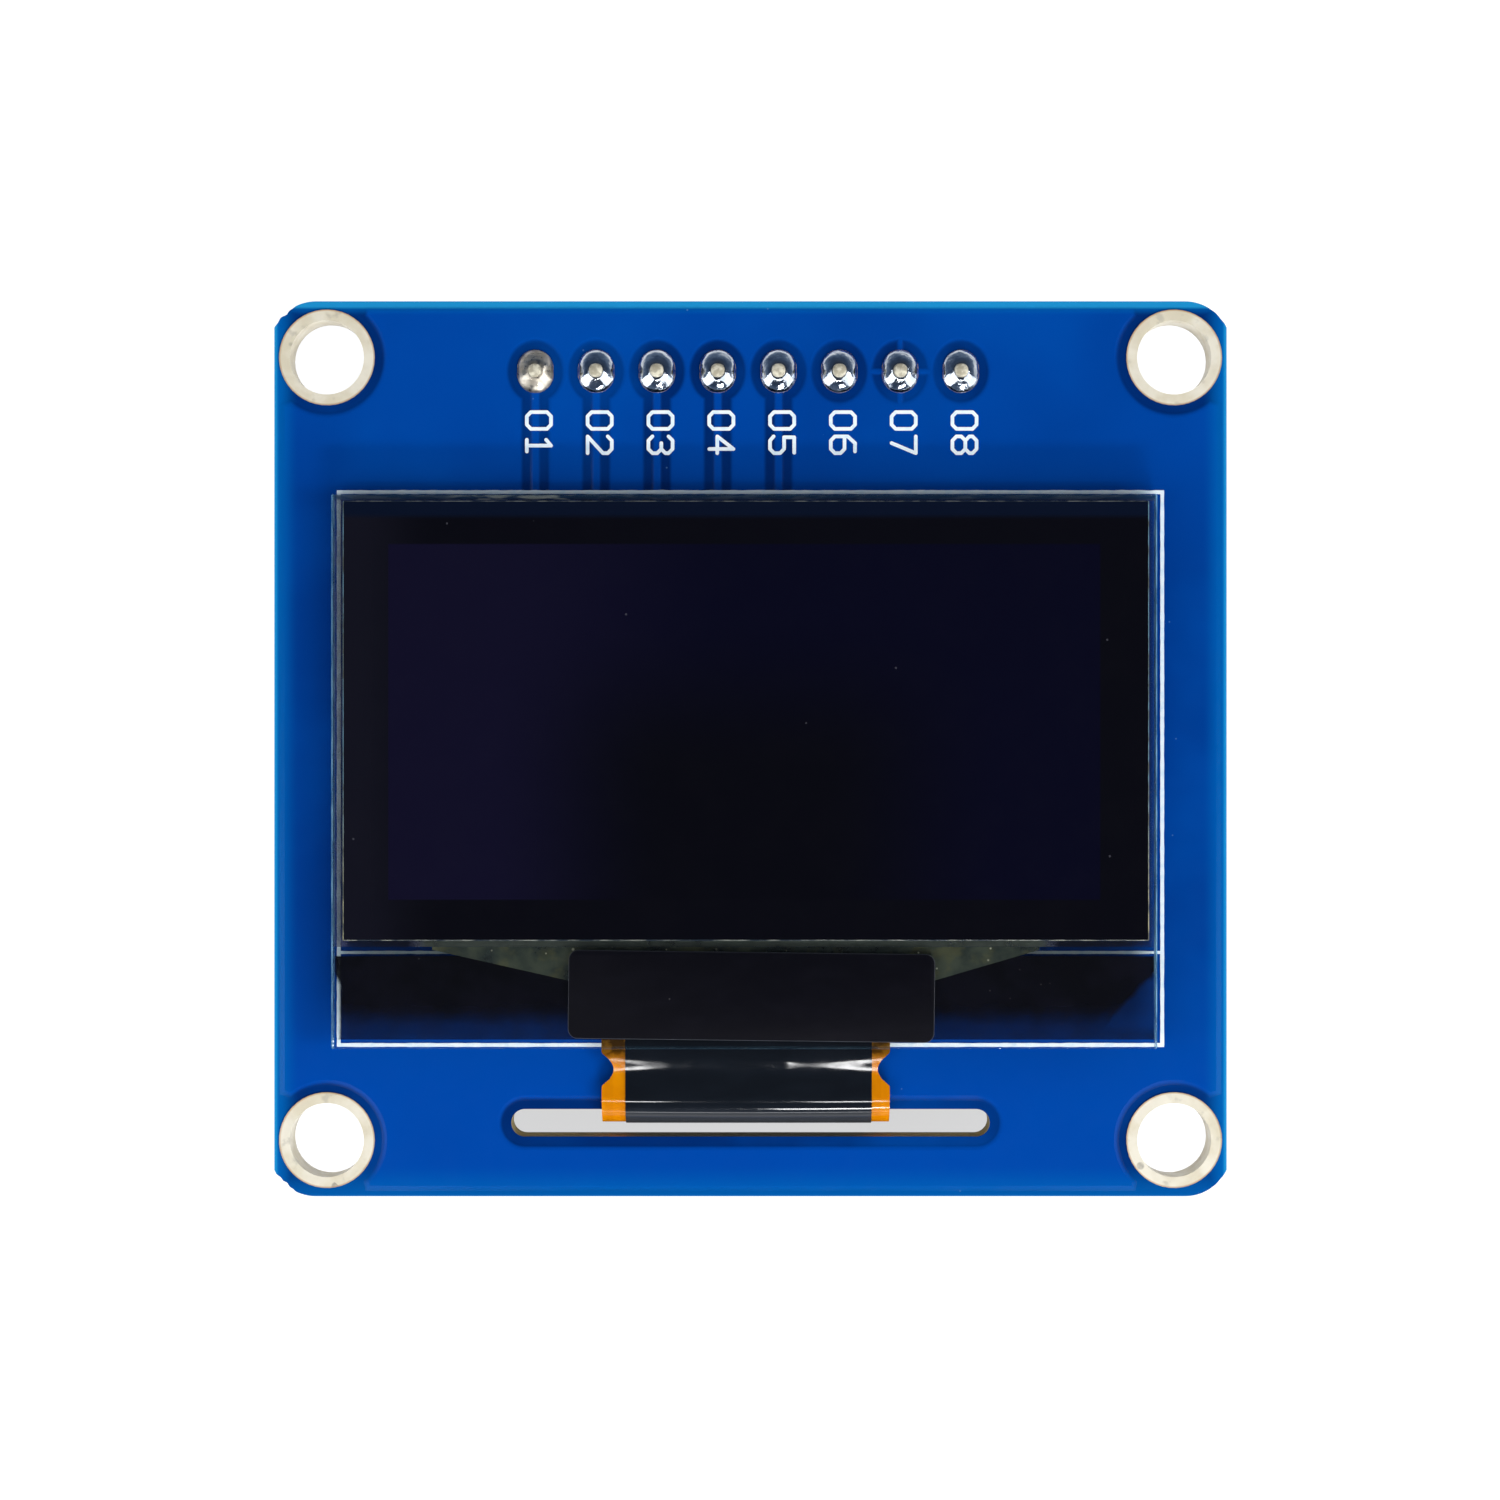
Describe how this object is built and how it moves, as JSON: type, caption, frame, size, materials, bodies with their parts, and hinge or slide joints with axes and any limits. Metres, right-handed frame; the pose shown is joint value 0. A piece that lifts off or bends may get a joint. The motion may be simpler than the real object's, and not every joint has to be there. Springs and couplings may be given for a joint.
{
  "type": "small oled display module",
  "caption": "Nearly square circuit board with a dark rectangular glass display, a flexible circuit through a slot, corner mounting holes and a straight pin header behind.",
  "frame": {"origin": "centre of the four mounting holes, on the board's rear face", "axes": "+Z out of the display face, +Y towards the edge with the pin header, +X to the right as the display is read with the header at the top"},
  "size_m": [0.0398, 0.0374, 0.0117],
  "materials": {
    "solder_mask": "blue solder mask on glass-fibre laminate, satin",
    "tinned_pad": "pale tinned copper",
    "header_plastic": "black moulded plastic",
    "pin_metal": "thinly gold-plated brass",
    "solder": "bright solder",
    "black_tape": "matt black tape",
    "panel_glass": "clear thin glass",
    "getter": "grey moisture-absorbing film",
    "display_dark": "near-black polariser, switched-off picture area behind it",
    "chip_silicon": "bare silicon chip",
    "edge_resin": "pale grey-green sealing resin",
    "dark_resin": "dark resin that thins out to clear",
    "black_film": "glossy black film",
    "polyimide": "amber polyimide film over copper",
    "chip_plastic": "black moulded chip body",
    "capacitor_ceramic": "tan sintered ceramic"
  },
  "bodies": {
    "root": {"pcb": "solder_mask", "mounting_pad_1": "tinned_pad", "mounting_pad_2": "tinned_pad", "mounting_pad_3": "tinned_pad", "mounting_pad_4": "tinned_pad", "header_pads": "tinned_pad", "header_housing": "header_plastic", "header_pin_1": "pin_metal", "header_pin_2": "pin_metal", "header_pin_3": "pin_metal", "header_pin_4": "pin_metal", "header_pin_5": "pin_metal", "header_pin_6": "pin_metal", "header_pin_7": "pin_metal", "header_pin_8": "pin_metal", "solder_joint_1": "solder", "solder_joint_2": "solder", "solder_joint_3": "solder", "solder_joint_4": "solder", "solder_joint_5": "solder", "solder_joint_6": "solder", "solder_joint_7": "solder", "solder_joint_8": "solder", "panel_tape": "black_tape", "cap_glass": "panel_glass", "moisture_getter": "getter", "edge_seal": "edge_resin", "pixel_layers": "display_dark", "front_glass": "panel_glass", "polarizer": "display_dark", "driver_chip": "chip_silicon", "edge_resin": "edge_resin", "ledge_resin": "dark_resin", "shield": "black_film", "bond_strip": "edge_resin", "flex_film": "polyimide", "flex_cover": "black_film", "flex_solder": "solder", "regulator_body": "chip_plastic", "regulator_leads": "solder", "capacitor_1": "capacitor_ceramic", "capacitor_2": "capacitor_ceramic", "capacitor_3": "capacitor_ceramic", "capacitor_4": "capacitor_ceramic", "capacitor_5": "capacitor_ceramic", "capacitor_6": "capacitor_ceramic", "capacitor_7": "capacitor_ceramic", "capacitor_8": "capacitor_ceramic", "resistor_1": "chip_plastic", "resistor_2": "chip_plastic", "resistor_3": "chip_plastic", "resistor_4": "chip_plastic", "resistor_5": "chip_plastic", "chip_terminals": "solder", "chip_solder": "solder"}
  },
  "joints": []
}
